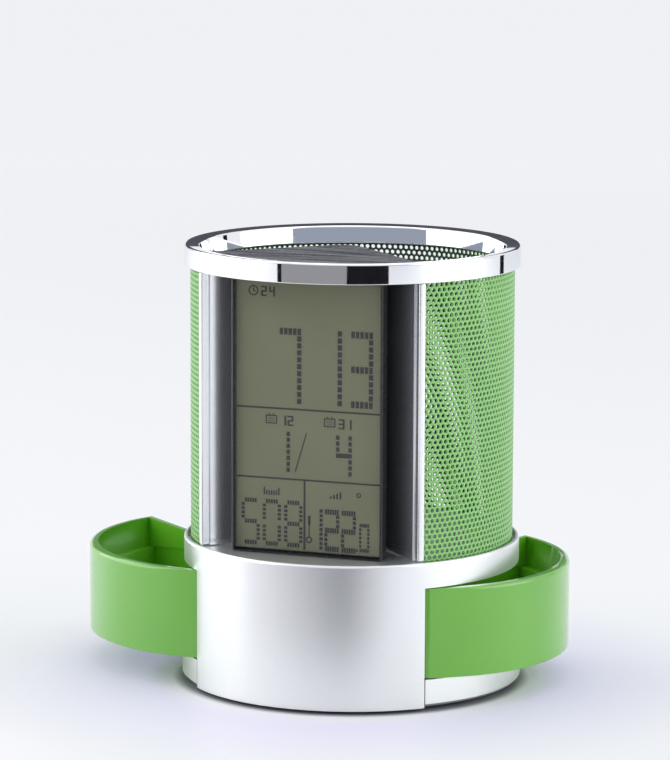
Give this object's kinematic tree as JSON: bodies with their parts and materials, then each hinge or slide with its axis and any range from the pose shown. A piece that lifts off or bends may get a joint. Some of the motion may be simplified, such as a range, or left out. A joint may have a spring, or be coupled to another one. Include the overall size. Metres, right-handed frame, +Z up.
{
  "type": "pen holder clock",
  "caption": "Round desk pot for pens with a perforated metal wall, a tall digital clock set in a wedge at its front under a mirror roof, and swing-out trays in its base.",
  "frame": {"origin": "centre of the base's underside, on the pot's own axis, at the flat face of the battery door; the rubber feet reach 1.2 mm below it", "axes": "+Z up along the pot's axis, the display looks along -Y, +X to the viewer's right"},
  "size_m": [0.149, 0.1023, 0.1309],
  "materials": {
    "silver_paint": "satin silver paint on ABS",
    "green_plastic": "glossy leaf green ABS",
    "chrome": "bright chrome plate on ABS",
    "sheet_paint": "leaf green powder coat on perforated steel",
    "pin_steel": "drawn steel pin",
    "screw_steel": "dark zinc-plated steel",
    "spring_steel": "nickel-plated spring steel",
    "rubber": "matt black rubber",
    "black_plastic": "black ABS",
    "grey_plastic": "dark grey ABS",
    "clear_plastic": "clear acrylic window",
    "display_glass": "grey-green liquid crystal glass",
    "foil": "matt reflector foil",
    "circuit_green": "green solder mask",
    "cell_jacket": "printed cell jacket, plain",
    "lead_red": "red wire insulation",
    "lead_black": "black wire insulation"
  },
  "bodies": {
    "pot": {"base_shell": "silver_paint", "base_plate": "silver_paint", "clock_bay": "silver_paint", "top_ring": "chrome", "mesh_sheet": "sheet_paint", "left_hinge_pin": "pin_steel", "right_hinge_pin": "pin_steel", "base_screw_right": "screw_steel", "base_screw_left": "screw_steel", "base_screw_back": "screw_steel", "module_screw_right": "screw_steel", "module_screw_left": "screw_steel", "door_screw": "screw_steel", "temperature_sensor": "screw_steel", "battery_spring": "spring_steel", "battery_plate_contact": "spring_steel", "crystal": "spring_steel", "foot_front_right": "rubber", "foot_front_left": "rubber", "foot_back_right": "rubber", "foot_back_left": "rubber", "button_pad": "rubber", "contact_strip_lower": "rubber", "contact_strip_upper": "rubber", "module_case": "black_plastic", "clock_chip": "black_plastic", "buzzer": "black_plastic", "battery_door": "grey_plastic", "lcd_bezel": "grey_plastic", "lcd_window": "clear_plastic", "lcd_panel": "display_glass", "lcd_reflector": "foil", "circuit_board": "circuit_green", "button_board": "circuit_green", "battery": "cell_jacket", "lead_positive": "lead_red", "lead_negative": "lead_black"},
    "left_tray": {"left_tray": "green_plastic"},
    "right_tray": {"right_tray": "green_plastic"},
    "button_upper_right": {"button_upper_right": "black_plastic"},
    "button_upper_left": {"button_upper_left": "black_plastic"},
    "button_lower_right": {"button_lower_right": "black_plastic"},
    "button_lower_left": {"button_lower_left": "black_plastic"}
  },
  "joints": [
    {"name": "left_tray_hinge", "type": "hinge", "parent": "pot", "child": "left_tray", "pos_m": [-0.03554, -0.03151, 0.0215], "axis": [0, 0, 1], "range_deg": [-50.5, 24.5]},
    {"name": "right_tray_hinge", "type": "hinge", "parent": "pot", "child": "right_tray", "pos_m": [0.03554, -0.03151, 0.0215], "axis": [0, 0, -1], "range_deg": [-19, 56]},
    {"name": "button_upper_right_press", "type": "slide", "parent": "pot", "child": "button_upper_right", "axis": [0, -1, 0], "range_m": [0, 0.0008], "stiffness_N_per_m": 250, "springref_m": -0.0004},
    {"name": "button_upper_left_press", "type": "slide", "parent": "pot", "child": "button_upper_left", "axis": [0, -1, 0], "range_m": [0, 0.0008], "stiffness_N_per_m": 250, "springref_m": -0.0004},
    {"name": "button_lower_right_press", "type": "slide", "parent": "pot", "child": "button_lower_right", "axis": [0, -1, 0], "range_m": [0, 0.0008], "stiffness_N_per_m": 250, "springref_m": -0.0004},
    {"name": "button_lower_left_press", "type": "slide", "parent": "pot", "child": "button_lower_left", "axis": [0, -1, 0], "range_m": [0, 0.0008], "stiffness_N_per_m": 250, "springref_m": -0.0004}
  ]
}
